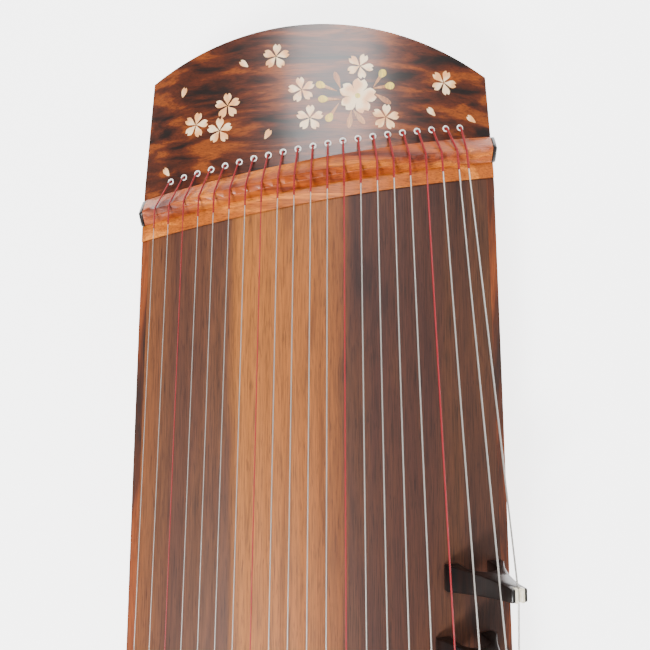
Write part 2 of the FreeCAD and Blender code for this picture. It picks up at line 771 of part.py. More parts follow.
for i in NUMBERS:
    keep(movable_bridge(i), "movable_bridge_%02d" % i)

# ------------------------------------------------------------ tuning box: block, pins, lid and hinge
BLOCK_TOP = "(sizes.foot_height + sizes.back_thickness + sizes.block_thickness)"
block_stretch = block("block_stretch", ("sizes.first_pin_row - sizes.block_margin", "-%g" % FAR_OUT, "0"),
                      (HEAD_END, "%g" % FAR_OUT, BLOCK_TOP))
bores = doc.addObject("Part::Feature", "pin_bores")
bore = Part.makeCylinder(size("pin_radius") + size("pin_fit"), 2 * size("pin_bore_depth"))
bores.Shape = Part.makeCompound([bore.translated(pin_place(i)) for i in NUMBERS])
keep(cut("block_bored", common("block_blank", chamber_plan, block_stretch), bores), "pin_block")


def tuning_pin(i):
    """A tuning pin: round shank in its bore, square head for the tuning key."""
    name = "tuning_pin_%02d" % i
    foot = pin_place(i)
    shank = doc.addObject("Part::Cylinder", name + "_shank")
    bind(shank, Radius="sizes.pin_radius", Height="sizes.pin_length")
    shank.Placement.Base = foot
    square = doc.addObject("Part::Box", name + "_square")
    bind(square, Length="sizes.pin_head", Width="sizes.pin_head", Height="sizes.pin_head_length")
    square.Placement.Base = foot + V(-size("pin_head") / 2, -size("pin_head") / 2, size("pin_length"))
    return joined(name + "_whole", shank, square)


for i in NUMBERS:
    keep(tuning_pin(i), "tuning_pin_%02d" % i)

lid_seat = arched_block("lid_seat", "-sizes.cover_thickness + sizes.seat_gap")
lid_stretch = block("lid_stretch", ("sizes.lid_start + sizes.lid_gap", "-%g" % FAR_OUT, "0"),
                    (HEAD_END, "%g" % FAR_OUT, "%g" % FAR_OUT))
lid_plate = common("lid_plate", cut("lid_skin", top_surface, lid_seat), whole_plan, lid_stretch)

head_end = value_of(HEAD_END)
hinge_axis = V(size("length") / 2 - size("knuckle_radius"), 0, crown_height(head_end) - size("leaf_drop"))
half_hinge = size("hinge_length") / 2
half_knuckle = size("middle_knuckle") / 2


def knuckle(start, end, radius):
    """A round of the hinge barrel between two side-to-side places."""
    return Part.makeCylinder(radius, end - start, hinge_axis + V(0, start, 0), V(0, 1, 0))


def leaf(low, high):
    """A flat plate of the hinge between two corners."""
    extent = high - low
    return Part.makeBox(extent.x, extent.y, extent.z, low)


leaf_half = size("leaf_thickness") / 2
lid_leaf = leaf(V(head_end - size("leaf_width"), -half_hinge, hinge_axis.z - leaf_half),
                V(head_end, half_hinge, hinge_axis.z + leaf_half))
lid_tongue = leaf(V(head_end, -half_knuckle, hinge_axis.z - leaf_half),
                  V(hinge_axis.x, half_knuckle, hinge_axis.z + leaf_half))
lid_knuckle = lid_tongue.fuse(knuckle(-half_knuckle, half_knuckle, size("knuckle_radius")))
lid_knuckle = lid_knuckle.cut(knuckle(-half_hinge, half_hinge, size("hinge_pin_radius") + size("hinge_fit")))
keep_shapes("lid_hinge_leaf", [lid_leaf.fuse(lid_knuckle).removeSplitter()])

leaf_pocket = doc.addObject("Part::Feature", "leaf_pocket")
leaf_pocket.Shape = leaf(V(head_end - size("leaf_width"), -half_hinge, hinge_axis.z - leaf_half),
                         V(head_end, half_hinge, hinge_axis.z + size("cover_thickness")))
keep(cut("lid_rebated", lid_plate, leaf_pocket), "lid")

inner_edge = half_knuckle + size("hinge_end_play")
box_hinge = knuckle(-half_hinge, half_hinge, size("hinge_pin_radius"))
wall_leaf_top = hinge_axis.z - size("knuckle_radius") - size("seat_gap")
wall_leaf = leaf(V(head_end, -half_hinge, hinge_axis.z - size("leaf_width")),
                 V(head_end + size("leaf_thickness"), half_hinge, wall_leaf_top))
box_hinge = box_hinge.fuse(wall_leaf)
for side in (-1, 1):
    near, far = sorted((side * inner_edge, side * half_hinge))
    riser = leaf(V(head_end + size("seat_gap"), near, hinge_axis.z - size("leaf_width") / 2),
                 V(head_end + size("leaf_thickness"), far, hinge_axis.z))
    box_hinge = box_hinge.fuse(knuckle(near, far, size("knuckle_radius"))).fuse(riser)
keep_shapes("box_hinge_leaf", [box_hinge.removeSplitter()])

# ------------------------------------------------------------ feet
foot_half = "sizes.foot_size / 2"
foot_top = "sizes.foot_height"
foot_master = padded_outline("foot_master", "XZ_Plane", [
    ("-%s * 0.8" % foot_half, "0"),
    ("%s * 0.8" % foot_half, "0"),
    (foot_half, foot_top),
    ("-" + foot_half, foot_top),
], "sizes.foot_size", True)
doc.recompute()
foot_places = []
for x in (value_of(TAIL_CORNER) + size("foot_inset"), head_end - size("foot_inset")):
    widths = size("tail_width") if x < 0 else size("head_width")
    for side in (-1, 1):
        foot_places.append(V(x, side * (widths / 2 - size("foot_inset") * 0.6), 0))
keep_shapes("feet", [foot_master.Shape.translated(place) for place in foot_places])

# ------------------------------------------------------------ check and write
doc.recompute()
for item in doc.Objects:
    if "Invalid" in item.State or "Error" in item.State:
        raise RuntimeError("%s could not be made: %s" % (item.Name, item.State))
for item in subparts:
    if item.Shape.isNull() or not item.Shape.isValid():
        raise RuntimeError("%s has no valid shape" % item.Label)
for item in subparts:
    item.Shape.exportStep("parts/%s.step" % item.Label)
print(len(subparts), "sub-parts written")
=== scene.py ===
"""The looks of a guzheng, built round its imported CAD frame. Metres, in the part's own frame."""

import math

import bpy
from mathutils import Matrix, Vector
from mathutils.bvhtree import BVHTree


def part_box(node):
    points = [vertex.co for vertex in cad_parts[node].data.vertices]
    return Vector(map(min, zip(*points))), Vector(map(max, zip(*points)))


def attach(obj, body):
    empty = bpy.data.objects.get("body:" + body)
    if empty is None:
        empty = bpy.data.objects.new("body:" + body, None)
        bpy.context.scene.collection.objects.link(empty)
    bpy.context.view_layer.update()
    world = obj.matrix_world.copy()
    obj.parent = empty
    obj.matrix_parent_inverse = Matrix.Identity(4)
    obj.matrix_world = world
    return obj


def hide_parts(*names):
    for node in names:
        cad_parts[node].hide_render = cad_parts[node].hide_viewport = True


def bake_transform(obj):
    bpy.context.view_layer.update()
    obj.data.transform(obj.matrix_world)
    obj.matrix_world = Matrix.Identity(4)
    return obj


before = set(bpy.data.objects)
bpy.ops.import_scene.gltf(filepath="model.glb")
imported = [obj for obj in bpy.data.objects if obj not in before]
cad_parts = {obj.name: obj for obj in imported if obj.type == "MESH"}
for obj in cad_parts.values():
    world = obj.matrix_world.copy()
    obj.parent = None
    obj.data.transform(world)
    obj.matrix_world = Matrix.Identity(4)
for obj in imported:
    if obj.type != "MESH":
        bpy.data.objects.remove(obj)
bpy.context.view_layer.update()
MM = 0.001
UP = Vector((0, 0, 1))

# ---------------------------------------------------------------- studio
# A plain white light table under plain soft lights: a broad box over the head end as the key,
# a softbox past the tail that the lacquer mirrors, and a weak fill.


def linear(hex_colour):
    """An sRGB hex colour as the linear one that shaders take."""
    values = [int(hex_colour[k:k + 2], 16) / 255 for k in (1, 3, 5)]
    return tuple(v / 12.92 if v <= 0.04045 else ((v + 0.055) / 1.055) ** 2.4 for v in values) + (1.0,)


def add_node(tree, kind, settings=None, links=None):
    """Add a node. Settings are properties, socket values or ramp stops; links go to its inputs."""
    node = tree.nodes.new(kind)
    for name, value in (settings or {}).items():
        if name == "stops":
            while len(node.color_ramp.elements) < len(value):
                node.color_ramp.elements.new(0.5)
            for element, (place, colour) in zip(node.color_ramp.elements, value):
                element.position = place
                element.color = colour
        elif isinstance(name, str) and name in node.bl_rna.properties:
            setattr(node, name, value)
        else:
            node.inputs[name].default_value = value
    for name, source in (links or {}).items():
        tree.links.new(source, node.inputs[name])
    return node


def new_finish(name, **sockets):
    """An empty material and its shader, with uniform values set on the shader's own sockets."""
    finish = bpy.data.materials.new(name)
    finish.use_nodes = True
    shader = finish.node_tree.nodes["Principled BSDF"]
    for socket, value in sockets.items():
        shader.inputs[socket.replace("_", " ")].default_value = value
    return finish, finish.node_tree, shader


def deselect():
    """Leave edit mode and select nothing."""
    if bpy.context.object and bpy.context.object.mode != "OBJECT":
        bpy.ops.object.mode_set(mode="OBJECT")
    bpy.ops.object.select_all(action="DESELECT")


def settle(piece, name, finish, smooth=40):
    """Name a piece, put its place in its mesh, clean the mesh and give it its finish."""
    deselect()
    piece.name = name
    piece.data.name = name
    piece.select_set(True)
    bpy.context.view_layer.objects.active = piece
    bpy.ops.object.transform_apply(location=True, rotation=True, scale=True)
    bpy.ops.object.mode_set(mode="EDIT")
    bpy.ops.mesh.select_all(action="SELECT")
    bpy.ops.mesh.remove_doubles(threshold=0.00001)
    bpy.ops.mesh.normals_make_consistent(inside=False)
    bpy.ops.object.mode_set(mode="OBJECT")
    if finish is not None:
        piece.data.materials.clear()
        piece.data.materials.append(finish)
    bpy.ops.object.shade_smooth_by_angle(angle=math.radians(smooth))
    return piece


paper, _, _ = new_finish("white_light_table", Base_Color=linear("#FFFFFF"), Roughness=0.9,
                         Emission_Color=linear("#FFFFFF"), Emission_Strength=3.0)
deselect()
bpy.ops.mesh.primitive_plane_add(size=9, location=(0, 0, 0))
floor = settle(bpy.context.object, "floor", paper)

world = bpy.data.worlds.new("white_room")
bpy.context.scene.world = world
world.use_nodes = True
world.node_tree.nodes["Background"].inputs["Color"].default_value = linear("#FFFFFF")
world.node_tree.nodes["Background"].inputs["Strength"].default_value = 0.4


def area_light(name, place, target, size, watts):
    """A square soft light that faces a point."""
    data = bpy.data.lights.new(name, "AREA")
    data.size = size
    data.energy = watts
    light = bpy.data.objects.new(name, data)
    bpy.context.scene.collection.objects.link(light)
    light.location = place
    light.rotation_euler = (Vector(target) - Vector(place)).to_track_quat("-Z", "Y").to_euler()


area_light("key_light", (0.45, -0.5, 1.5), (-0.45, 0.0, 0.1), 0.4, 52)
area_light("tail_softbox", (-1.62, 0.05, 1.36), (-0.76, 0.0, 0.12), 0.75, 30)
area_light("fill_light", (-0.3, 1.4, 1.6), (-0.4, 0.0, 0.1), 1.4, 8)

camera_data = bpy.data.cameras.new("camera")
camera_data.sensor_width = 36
camera_data.lens = 35.94
camera_data.clip_start = 0.01
camera = bpy.data.objects.new("camera", camera_data)
bpy.context.scene.collection.objects.link(camera)
camera.location = (-0.52799, 0.02670, 0.64265)
camera.rotation_euler = [math.radians(turn) for turn in (3.638, 2.148, 89.954)]
bpy.context.scene.camera = camera

# ---------------------------------------------------------------- soundboard
# A cambered paulownia board, scorched and brushed, so that the hard lines of the grain stand
# up and the pores stay open. Left matt. A pale heart stripe runs between two dark ones.


def make_wood(name, colours, grain, figure_mm, rings, fibre_mm, roughness, lacquer, bands=()):
    """Solid wood or veneer, by its three colours and the real sizes of its figure and fibre."""
    finish, tree, shader = new_finish(name, Roughness=roughness, Coat_Weight=lacquer,
                                      Coat_Roughness=0.22, IOR=1.5, Specular_IOR_Level=0.4)
    place = add_node(tree, "ShaderNodeTexCoord").outputs["Object"]
    lengthways = ["X", "Y", "Z"].index(grain)
    long_figure = [1 / (figure_mm * MM)] * 3
    long_figure[lengthways] /= 9
    long_fibre = [1 / (fibre_mm * MM)] * 3
    long_fibre[lengthways] /= 45
    long_pore = [1 / (2.2 * fibre_mm * MM)] * 3
    long_pore[lengthways] /= 9
    figure_at = add_node(tree, "ShaderNodeMapping", {"Scale": long_figure}, {"Vector": place})
    fibre_at = add_node(tree, "ShaderNodeMapping", {"Scale": long_fibre}, {"Vector": place})
    pore_at = add_node(tree, "ShaderNodeMapping", {"Scale": long_pore}, {"Vector": place})
    figure = add_node(tree, "ShaderNodeTexNoise",
                      {"Scale": 1.0, "Detail": 3.0, "Roughness": 0.5, "Distortion": 0.5},
                      {"Vector": figure_at.outputs["Vector"]})
    fibre = add_node(tree, "ShaderNodeTexNoise", {"Scale": 1.0, "Detail": 3.0, "Roughness": 0.65},
                     {"Vector": fibre_at.outputs["Vector"]})
    pore = add_node(tree, "ShaderNodeTexNoise", {"Scale": 1.0, "Detail": 2.0, "Roughness": 0.7},
                    {"Vector": pore_at.outputs["Vector"]})
    ring_count = add_node(tree, "ShaderNodeMath", {"operation": "MULTIPLY", 1: float(rings)},
                          {0: figure.outputs["Fac"]})
    ring = add_node(tree, "ShaderNodeMath", {"operation": "PINGPONG", 1: 1.0},
                    {0: ring_count.outputs["Value"]})
    dark, middle, pale = [linear(colour) for colour in colours]
    ground = add_node(tree, "ShaderNodeValToRGB",
                      {"stops": [(0.33, dark), (0.5, middle), (0.68, pale)]},
                      {"Fac": figure.outputs["Fac"]})
    colour = ground.outputs["Color"]
    if bands:
        split = add_node(tree, "ShaderNodeSeparateXYZ", None, {"Vector": place})
        sway = add_node(tree, "ShaderNodeMath",
                        {"operation": "MULTIPLY_ADD", 1: 0.022, 2: -0.011},
                        {0: figure.outputs["Fac"]})
        across = add_node(tree, "ShaderNodeMath", {"operation": "ADD"},
                          {0: split.outputs["Y"], 1: sway.outputs["Value"]})
        share = add_node(tree, "ShaderNodeMapRange",
                         {"From Min": -0.18, "From Max": 0.18}, {"Value": across.outputs["Value"]})
        stops = [((y + 180) / 360, linear(tone)) for y, tone in bands]
        stripe = add_node(tree, "ShaderNodeValToRGB", {"stops": stops},
                          {"Fac": share.outputs["Result"]})
        both = add_node(tree, "ShaderNodeMixRGB", {"blend_type": "MIX", "Fac": 0.86},
                        {"Color1": colour, "Color2": stripe.outputs["Color"]})
        colour = both.outputs["Color"]
    ring_tone = add_node(tree, "ShaderNodeValToRGB",
                         {"stops": [(0.0, (0.55, 0.5, 0.48, 1)), (0.35, (1, 1, 1, 1))]},
                         {"Fac": ring.outputs["Value"]})
    ringed = add_node(tree, "ShaderNodeMixRGB", {"blend_type": "MULTIPLY", "Fac": 0.75},
                      {"Color1": colour, "Color2": ring_tone.outputs["Color"]})
    fibre_tone = add_node(tree, "ShaderNodeValToRGB",
                          {"stops": [(0.32, (0.36, 0.32, 0.31, 1)), (0.5, (0.95, 0.95, 0.95, 1)),
                                     (0.7, (1.3, 1.22, 1.12, 1))]},
                          {"Fac": fibre.outputs["Fac"]})
    fibred = add_node(tree, "ShaderNodeMixRGB", {"blend_type": "MULTIPLY", "Fac": 0.85},
                      {"Color1": ringed.outputs["Color"], "Color2": fibre_tone.outputs["Color"]})
    pore_tone = add_node(tree, "ShaderNodeValToRGB",
                         {"stops": [(0.3, (0.35, 0.3, 0.28, 1)), (0.42, (1, 1, 1, 1))]},
                         {"Fac": pore.outputs["Fac"]})
    pored = add_node(tree, "ShaderNodeMixRGB", {"blend_type": "MULTIPLY", "Fac": 0.6},
                     {"Color1": fibred.outputs["Color"], "Color2": pore_tone.outputs["Color"]})
    tree.links.new(pored.outputs["Color"], shader.inputs["Base Color"])
    relief = add_node(tree, "ShaderNodeBump", {"Strength": 0.35 - 0.25 * lacquer, "Distance": 0.0003},
                      {"Height": fibre.outputs["Fac"]})
    tree.links.new(relief.outputs["Normal"], shader.inputs["Normal"])
    return finish


def paint_node(node, finish):
    """Give a CAD node its finish."""
    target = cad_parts[node]
    target.data.materials.clear()
    target.data.materials.append(finish)


BOARD_BANDS = [(-172, "#86480F"), (-134, "#66381A"), (-118, "#482618"), (-70, "#4E2A18"), (-60, "#9C5A18"),
               (-8, "#965416"), (18, "#7A4217"), (27, "#3A1B14"), (92, "#351813"), (122, "#3A1D12")]
soundboard_wood = make_wood("brushed_scorched_paulownia", ("#3C2015", "#6B3D1C", "#9A602A"), "X", 24, 6, 0.8,
                            0.6, 0.0, BOARD_BANDS)
paint_node("soundboard", soundboard_wood)

# ---------------------------------------------------------------- box: sides, ends, back and braces
# Rosewood side and end panels, a plain paulownia back with two sound holes and a string hatch,
# spruce braces inside, and a block of the same spruce that holds the tuning pins.
PANEL_TONES = ("#2A1004", "#5E2808", "#8C4210")
side_wood = make_wood("oiled_rosewood_sides", PANEL_TONES, "X", 14, 9, 0.7, 0.5, 0.1)
paint_node("side_panels", side_wood)
end_wood = make_wood("oiled_rosewood_ends", PANEL_TONES, "Y", 14, 9, 0.7, 0.5, 0.1)
paint_node("end_panels", end_wood)
back_wood = make_wood("plain_paulownia_back", ("#8A6238", "#A67C4B", "#C29A66"), "X", 30, 8, 0.9, 0.6, 0.0)
paint_node("back_board", back_wood)
brace_wood = make_wood("planed_spruce", ("#B58E58", "#CDA871", "#E0C390"), "Y", 12, 12, 0.6, 0.6, 0.0)
for node in ("braces", "pin_block"):
    paint_node(node, brace_wood)

# ---------------------------------------------------------------- tail board, head board and lid
# Cambered covers faced with figured walnut veneer, its streaks laid across the instrument,
# under a satin lacquer that shows a broad soft glare.
cover_wood = make_wood("satin_figured_walnut", ("#160601", "#4E1D06", "#94480C"), "Y", 11, 6, 0.8, 0.36, 0.35)
for node in ("tail_board", "head_board", "lid"):
    paint_node(node, cover_wood)

# ---------------------------------------------------------------- marquetry
# Cherry blossom let into the walnut: thin slips of pear and maple for petals, boxwood buds,
# and plum for stems and leaves. Each slip stands a hair above the lacquer.
petal_wood, petal_tree, petal_shader = new_finish("maple_and_pear_slips", Roughness=0.4, Coat_Weight=0.3)
petal_at = add_node(petal_tree, "ShaderNodeTexCoord").outputs["Object"]
petal_hue = add_node(petal_tree, "ShaderNodeTexNoise", {"Scale": 110.0, "Detail": 0.0}, {"Vector": petal_at})
petal_tone = add_node(petal_tree, "ShaderNodeValToRGB",
                      {"stops": [(0.36, linear("#EDA767")), (0.5, linear("#F8C68E")),
                                 (0.64, linear("#FCDDB0"))]},
                      {"Fac": petal_hue.outputs["Fac"]})
petal_fibre = add_node(petal_tree, "ShaderNodeTexNoise", {"Scale": 1600.0, "Detail": 2.0},
                       {"Vector": petal_at})
petal_grain = add_node(petal_tree, "ShaderNodeValToRGB",
                       {"stops": [(0.3, (0.84, 0.78, 0.72, 1)), (0.55, (1, 1, 1, 1))]},
                       {"Fac": petal_fibre.outputs["Fac"]})
petal_mix = add_node(petal_tree, "ShaderNodeMixRGB", {"blend_type": "MULTIPLY", "Fac": 0.8},
                     {"Color1": petal_tone.outputs["Color"], "Color2": petal_grain.outputs["Color"]})
petal_tree.links.new(petal_mix.outputs["Color"], petal_shader.inputs["Base Color"])
bud_wood = make_wood("dyed_boxwood", ("#D9B02C", "#E8C93C", "#F3DE62"), "X", 6, 3, 0.5, 0.4, 0.3)
stem_wood = make_wood("plum_wood", ("#9A5A2E", "#C17E46", "#D79A5F"), "X", 6, 3, 0.5, 0.4, 0.3)
SLIP = 0.6 * MM


def surface_of(target):
    """The surface of a piece, to be found from above."""
    return BVHTree.FromPolygons([v.co.copy() for v in target.data.vertices],
                                [tuple(p.vertices) for p in target.data.polygons])


def board_hits(node):
    """The surface of a CAD node."""
    return surface_of(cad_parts[node])


def stand_on(hits, x, y, turn):
    """The placement that lays a flat slip on a board, turned about the board's own normal."""
    spot, facing, _, _ = hits.ray_cast(Vector((x, y, 1.0)), -UP)
    along = Vector((math.cos(turn), math.sin(turn), 0))
    side = facing.cross(along).normalized()
    forward = side.cross(facing)
    placed = Matrix((forward, side, facing)).transposed().to_4x4()
    placed.translation = spot + facing * 0.15 * MM
    return placed


def slip(outline_length, width, notch, tail_width):
    """A flat petal or leaf that points along +X from the origin: a disc pinched, drawn out and notched."""
    deselect()
    bpy.ops.mesh.primitive_circle_add(vertices=16, radius=0.5, fill_type="NGON", location=(0.5, 0, 0))
    bpy.ops.object.transform_apply(location=True)
    piece = bpy.context.object
    for corner in piece.data.vertices:
        reach = corner.co.x
        pinch = tail_width + (1 - tail_width) * min(1.0, reach / 0.62) ** 1.2
        corner.co.y *= width * pinch
        if notch and reach > 0.999:
            corner.co.x -= notch / outline_length
        corner.co.x *= outline_length
    bpy.ops.object.mode_set(mode="EDIT")
    bpy.ops.mesh.select_all(action="SELECT")
    bpy.ops.mesh.quads_convert_to_tris()
    bpy.ops.mesh.extrude_region_move(TRANSFORM_OT_translate={"value": (0, 0, -SLIP)})
    bpy.ops.mesh.select_all(action="SELECT")
    bpy.ops.mesh.normals_make_consistent(inside=False)
    bpy.ops.object.mode_set(mode="OBJECT")
    return piece


def lay(name, node, slips, finish):
    """Join slips, each given with its placement, into one inlaid piece on a board."""
    made = []
    for master, placement in slips:
        copy = bpy.data.objects.new(name, master.data.copy())
        bpy.context.scene.collection.objects.link(copy)
        copy.data.transform(placement)
        made.append(copy)
    deselect()
    for copy in made:
        copy.select_set(True)
    bpy.context.view_layer.objects.active = made[0]
    bpy.ops.object.join()
    piece = settle(bpy.context.object, name, finish)
    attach(piece, "lid_body" if node == "lid" else "root")
    return piece


petal = slip(11.2 * MM, 7.6 * MM, 2.2 * MM, 0.12)
broad_petal = slip(15.6 * MM, 13.4 * MM, 2.6 * MM, 0.32)
loose_petal = slip(9.6 * MM, 5.6 * MM, 1.8 * MM, 0.45)
heart = slip(4.6 * MM, 4.6 * MM, 0, 1.0)
bud = slip(8.2 * MM, 6.8 * MM, 0, 0.7)
stem = slip(13.0 * MM, 2.6 * MM, 0, 0.25)
leaf = slip(16.0 * MM, 5.2 * MM, 0, 0.2)
masters = (petal, broad_petal, loose_petal, heart, bud, stem, leaf)


def facing_angle(clock):
    """Turn an angle seen from the tail-up side, counted from +Y, into one about +Z from +X."""
    return math.radians(clock + 90)


def blossom(name, node, hits, x, y, clock, master, scale=1.0):
    """Five petals round a point."""
    slips = []
    for k in range(5):
        placed = stand_on(hits, x, y, facing_angle(clock + 72 * k))
        slips.append((master, placed @ Matrix.Translation((0.5 * MM, 0, 0)) @ Matrix.Scale(scale, 4)))
    return lay(name, node, slips, petal_wood)


tail_hits = board_hits("tail_board")
BLOSSOMS = [(-787.1, -33.9, 85), (-776.9, 36.3, 65), (-756.4, -12.1, 100), (-746.5, -74.9, 92),
            (-732.3, -102.8, 76), (-725.1, -81.4, 90), (-731.6, -5.1, 88), (-732.6, 57.2, 84),
            (-766.5, 106.8, 68)]
for count, (x, y, clock) in enumerate(BLOSSOMS, start=1):
    blossom("blossom_%d" % count, "tail_board", tail_hits, x * MM, y * MM, clock, petal)
blossom("great_blossom", "tail_board", tail_hits, -0.7505, 0.0342, 78, broad_petal)
centre = stand_on(tail_hits, -0.7505, 0.0342, 0)
centre = centre @ Matrix.Translation((-2.3 * MM, 0, 0.15 * MM))
lay("great_blossom_heart", "tail_board", [(heart, centre)], bud_wood)
LOOSE = [(-782.6, -61.2, 140), (-763.4, -115.1, 75), (-718.6, -40.1, 60), (-693.3, -128.7, 130),
         (-739.3, 95.7, 135), (-736.2, 130.4, 150)]
loose_slips = []
for x, y, clock in LOOSE:
    placed = stand_on(tail_hits, x * MM, y * MM, facing_angle(clock))
    loose_slips.append((loose_petal, placed @ Matrix.Translation((-4.5 * MM, 0, 0))))
lay("loose_petals", "tail_board", loose_slips, petal_wood)
BUDS = [(-760.0, 4.0, 158), (-747.7, 6.1, 178), (-731.9, 11.1, 238), (-770.5, 54.6, 58), (-760.1, 60.4, 12)]
bud_slips, stem_slips = [], []
for x, y, clock in BUDS:
    turn = facing_angle(clock)
    placed = stand_on(tail_hits, x * MM, y * MM, turn)
    bud_slips.append((bud, placed @ Matrix.Translation((-3.8 * MM, 0, 0))))
    back = placed @ Matrix.Translation((-14.5 * MM, 0, -0.05 * MM))
    stem_slips.append((stem, back))
    calyx = placed @ Matrix.Translation((-9.5 * MM, 0, -0.03 * MM)) @ Matrix.Scale(0.62, 4)
    stem_slips.append((leaf, calyx))
LEAVES = [(-763.4, 18.0, 108), (-749.1, 54.3, 328), (-731.1, 28.0, 262), (-733.0, 34.5, 308)]
for x, y, clock in LEAVES:
    placed = stand_on(tail_hits, x * MM, y * MM, facing_angle(clock))
    stem_slips.append((leaf, placed @ Matrix.Translation((-7.2 * MM, 0, -0.02 * MM))))
lay("boxwood_buds", "tail_board", bud_slips, bud_wood)
lay("stems_and_leaves", "tail_board", stem_slips, stem_wood)
lid_hits = board_hits("lid")
for count, (x, y, clock) in enumerate([(745, -60, 80), (762, 10, 95), (738, 66, 70), (775, 92, 88)], start=1):
    blossom("lid_blossom_%d" % count, "lid", lid_hits, x * MM, y * MM, clock, petal)
for master in masters:
    bpy.data.objects.remove(master)

# ---------------------------------------------------------------- tail bridge
# A slanting rosewood bar, planed to a ridge with a sloping front and a bead half-way down it,
# capped at both ends with a darker wood, and a flat orange strip glued in front of it.
bar_wood = make_wood("polished_rosewood_bar", ("#6C2405", "#AE4E0A", "#D87814"), "Y", 12, 7, 0.6, 0.46, 0.12)
dark_wood = make_wood("ebonised_rosewood", ("#050201", "#0D0504", "#200D07"), "X", 10, 6, 0.6, 0.34, 0.2)
strip_wood = make_wood("pale_rosewood_strip", ("#8E4408", "#C4660F", "#E0872B"), "Y", 16, 4, 0.7, 0.45, 0.2)
paint_node("tail_bridge_strip", strip_wood)


def cad_copy(node, name):
    """A merged copy of a CAD node's mesh, to be worked up into the shown piece."""
    copy = bpy.data.objects.new(name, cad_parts[node].data.copy())
    bpy.context.scene.collection.objects.link(copy)
    deselect()
    copy.select_set(True)
    bpy.context.view_layer.objects.active = copy
    bpy.ops.object.mode_set(mode="EDIT")
    bpy.ops.mesh.select_all(action="SELECT")
    bpy.ops.mesh.remove_doubles(threshold=0.000005)
    bpy.ops.object.mode_set(mode="OBJECT")
    return copy


def ease_edges(piece, width, angle):
    """Round the hard edges of a piece as sanding does."""
    deselect()
    piece.select_set(True)
    bpy.context.view_layer.objects.active = piece
    bpy.ops.object.mode_set(mode="EDIT")
    bpy.ops.mesh.select_all(action="SELECT")
    bpy.ops.mesh.dissolve_limited(angle_limit=math.radians(1.5))
    bpy.ops.object.mode_set(mode="OBJECT")
    easing = piece.modifiers.new("eased", "BEVEL")
    easing.width = width
    easing.segments = 2
    easing.limit_method = "ANGLE"
    easing.angle_limit = math.radians(angle)
    easing.use_clamp_overlap = True
    bpy.ops.object.modifier_apply(modifier="eased")


def keep_slice(piece, near, far):
    """Cut a piece square across the instrument and keep what lies between two places."""
    for place, facing in ((near, -1), (far, 1)):
        bpy.ops.object.mode_set(mode="EDIT")
        bpy.ops.mesh.select_all(action="SELECT")
        bpy.ops.mesh.bisect(plane_co=(0, place, 0), plane_no=(0, facing, 0), use_fill=True,
                            clear_outer=True)
        bpy.ops.object.mode_set(mode="OBJECT")


bar_low, bar_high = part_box("tail_bridge")
bar_hits = board_hits("tail_bridge")
CAP = 4.0 * MM
SKEW = math.tan(math.radians(10.0))
RIDGE_X = -682.5 * MM


def slope_front(piece):
    """Plane the front of the bar down from its ridge, and leave the ridge and the foot alone."""
    for corner in piece.data.vertices:
        ahead = corner.co.x - (RIDGE_X - corner.co.y * SKEW)
        above, _, _, _ = bar_hits.ray_cast(Vector((corner.co.x - 0.3 * MM, corner.co.y, 1.0)), -UP)
        if above is None or above.z - corner.co.z > 2 * MM:
            continue
        if 3 * MM < ahead < 6 * MM:
            corner.co.z -= 3.6 * MM
        elif ahead > 7.5 * MM:
            corner.co.z -= 2.8 * MM


for name, near, far, finish in (("tail_bridge_bar", bar_low.y + CAP, bar_high.y - CAP, bar_wood),
                                ("tail_bridge_cap_near", bar_low.y - MM, bar_low.y + CAP, dark_wood),
                                ("tail_bridge_cap_far", bar_high.y - CAP, bar_high.y + MM, dark_wood)):
    piece = cad_copy("tail_bridge", name)
    slope_front(piece)
    keep_slice(piece, near, far)
    if finish is dark_wood:
        ease_edges(piece, 1.4 * MM, 25)
    settle(piece, name, finish, 28)
    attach(piece, "root")
    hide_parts("tail_bridge")


def drawn_line(name, points, radius, finish, sides=2, widths=None):
    """A round line through points, as a closed mesh."""
    curve = bpy.data.curves.new(name, "CURVE")
    curve.dimensions = "3D"
    curve.bevel_depth = radius
    curve.bevel_resolution = sides
    curve.use_fill_caps = True
    line = curve.splines.new("POLY")
    line.points.add(len(points) - 1)
    for k, point in enumerate(points):
        line.points[k].co = (point.x, point.y, point.z, 1)
        line.points[k].radius = widths[k] if widths else 1.0
    piece = bpy.data.objects.new(name, curve)
    bpy.context.scene.collection.objects.link(piece)
    deselect()
    piece.select_set(True)
    bpy.context.view_layer.objects.active = piece
    bpy.ops.object.convert(target="MESH")
    return settle(bpy.context.object, name, finish, 50)


front_hits = surface_of(bpy.data.objects["tail_bridge_bar"])
BEAD_AHEAD = 4.6 * MM
BEAD_STEPS = 60
bead_start = bar_low.y + CAP + MM
bead_reach = bar_high.y - bar_low.y - 2 * CAP - 2 * MM
bead_points = []
for k in range(BEAD_STEPS + 1):
    y = bead_start + bead_reach * k / BEAD_STEPS
    top, _, _, _ = front_hits.ray_cast(Vector((RIDGE_X - y * SKEW + BEAD_AHEAD, y, 1.0)), -UP)
    bead_points.append(top - UP * 0.1 * MM)
bead = drawn_line("tail_bridge_bead", bead_points, 0.5 * MM, bar_wood)
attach(bead, "root")

